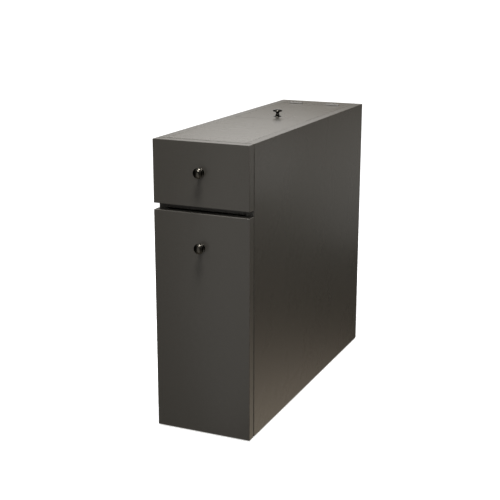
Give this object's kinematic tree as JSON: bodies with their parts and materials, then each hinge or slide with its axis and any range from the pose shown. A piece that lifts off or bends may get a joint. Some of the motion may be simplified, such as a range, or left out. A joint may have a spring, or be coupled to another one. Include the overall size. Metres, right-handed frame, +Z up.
{
  "type": "slim storage cabinet",
  "caption": "Slim free-standing board cabinet with a drawer over a tall pull-out rack at the front and a hinged lid over a deep rear compartment.",
  "frame": {"origin": "on the floor, at the middle of the overall box", "axes": "the drawer and rack fronts face -Y, +Z is up, +X is to the right of someone facing the back board from the front"},
  "size_m": [0.19, 0.6334, 0.5685],
  "materials": {
    "board": "satin anthracite melamine-faced chipboard with edging",
    "front_board": "satin anthracite melamine-faced chipboard with edging",
    "thin_board": "thin fibreboard, foil on its face side",
    "black_chrome": "polished dark chrome plate on die-cast metal",
    "slide_steel": "white epoxy-coated sheet steel",
    "hinge_steel": "sheet steel lacquered grey",
    "zinc": "zinc-plated steel and die-cast zinc",
    "beech": "fluted raw beech",
    "nylon": "moulded white nylon"
  },
  "bodies": {
    "carcass": {"side_panel_left": "board", "side_panel_right": "board", "bottom_panel": "board", "divider_panel": "board", "partition_panel": "board", "top_panel": "board", "rear_rail": "board", "back_board": "thin_board", "floor_glides": "nylon", "cam_locks": "zinc", "cam_bolts": "zinc", "wood_dowels": "beech", "upper_channel_left": "slide_steel", "upper_channel_right": "slide_steel", "lower_channel_left": "slide_steel", "lower_channel_right": "slide_steel", "channel_screws": "zinc", "hinge_rail_leaves": "hinge_steel", "hinge_pins": "hinge_steel", "hinge_rail_screws": "zinc"},
    "drawer": {"drawer_front": "front_board", "drawer_side_left": "board", "drawer_side_right": "board", "drawer_back": "board", "drawer_bottom": "thin_board", "drawer_runner_left": "slide_steel", "drawer_runner_right": "slide_steel", "drawer_knob": "black_chrome", "drawer_knob_screw": "zinc", "drawer_cams_and_bolts": "zinc", "drawer_screws": "zinc", "drawer_bumpers": "nylon"},
    "rack": {"rack_front": "front_board", "rack_bottom_shelf": "board", "rack_upper_shelf": "board", "rack_back": "board", "rack_guard_lower_left": "board", "rack_guard_lower_right": "board", "rack_guard_upper_left": "board", "rack_guard_upper_right": "board", "rack_runner_left": "slide_steel", "rack_runner_right": "slide_steel", "rack_knob": "black_chrome", "rack_knob_screw": "zinc", "rack_cams_and_bolts": "zinc", "rack_dowels": "beech", "rack_screws": "zinc", "rack_bumpers": "nylon"},
    "lid": {"lid_panel": "board", "lid_knob": "black_chrome", "lid_knob_screw": "zinc", "hinge_lid_leaves": "hinge_steel", "hinge_lid_screws": "zinc"},
    "upper_front_rollers": {"upper_channel_rollers": "nylon"},
    "upper_rear_rollers": {"upper_runner_rollers": "nylon"},
    "lower_front_rollers": {"lower_channel_rollers": "nylon"},
    "lower_rear_rollers": {"lower_runner_rollers": "nylon"}
  },
  "joints": [
    {"name": "drawer_slide", "type": "slide", "parent": "carcass", "child": "drawer", "axis": [0, -1, 0], "range_m": [0, 0.2]},
    {"name": "rack_slide", "type": "slide", "parent": "carcass", "child": "rack", "axis": [0, -1, 0], "range_m": [0, 0.2]},
    {"name": "lid_hinge", "type": "hinge", "parent": "carcass", "child": "lid", "pos_m": [0, 0.26515, 0.5536], "axis": [-1, 0, 0], "range_deg": [0, 95]},
    {"name": "upper_front_roll", "type": "hinge", "parent": "carcass", "child": "upper_front_rollers", "pos_m": [0, -0.26725, 0.4551], "axis": [1, 0, 0], "range_deg": [0, 1770]},
    {"name": "upper_rear_roll", "type": "hinge", "parent": "drawer", "child": "upper_rear_rollers", "pos_m": [0, -0.03125, 0.453], "axis": [1, 0, 0], "range_deg": [0, 1770]},
    {"name": "lower_front_roll", "type": "hinge", "parent": "carcass", "child": "lower_front_rollers", "pos_m": [0, -0.26725, 0.0331], "axis": [1, 0, 0], "range_deg": [0, 1770]},
    {"name": "lower_rear_roll", "type": "hinge", "parent": "rack", "child": "lower_rear_rollers", "pos_m": [0, -0.03125, 0.031], "axis": [1, 0, 0], "range_deg": [0, 1770]}
  ],
  "couplings": [
    {"joint": "upper_front_roll", "follows": "drawer_slide", "rad_per_m": 153.85},
    {"joint": "upper_rear_roll", "follows": "drawer_slide", "rad_per_m": 153.85},
    {"joint": "lower_front_roll", "follows": "rack_slide", "rad_per_m": 153.85},
    {"joint": "lower_rear_roll", "follows": "rack_slide", "rad_per_m": 153.85}
  ]
}
